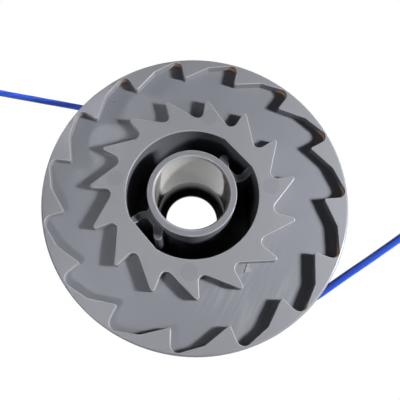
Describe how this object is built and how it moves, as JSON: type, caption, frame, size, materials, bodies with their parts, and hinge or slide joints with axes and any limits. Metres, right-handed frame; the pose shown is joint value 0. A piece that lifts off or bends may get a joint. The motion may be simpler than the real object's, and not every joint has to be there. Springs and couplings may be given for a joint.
{
  "type": "trimmer line spool",
  "caption": "Wound line spool for a string trimmer head, with ratchet teeth inside the top flange, a toothed star, a sprung hub well and a stepped bore.",
  "frame": {"origin": "centre of the lower face, on the axis of the hub bore", "axes": "+Z along the hub axis toward the toothed side; +X from the axis through one flat of the spring well, midway along it; +Y completes the right-handed frame"},
  "size_m": [0.101, 0.1423, 0.04],
  "materials": {
    "spool_plastic": "satin moulded grey plastic, with light rubbing on the raised edges",
    "nylon_line": "smooth blue monofilament"
  },
  "bodies": {
    "root": {"spool_body": "spool_plastic", "line_winding": "nylon_line", "line_tail_left": "nylon_line", "line_tail_right": "nylon_line"}
  },
  "joints": []
}
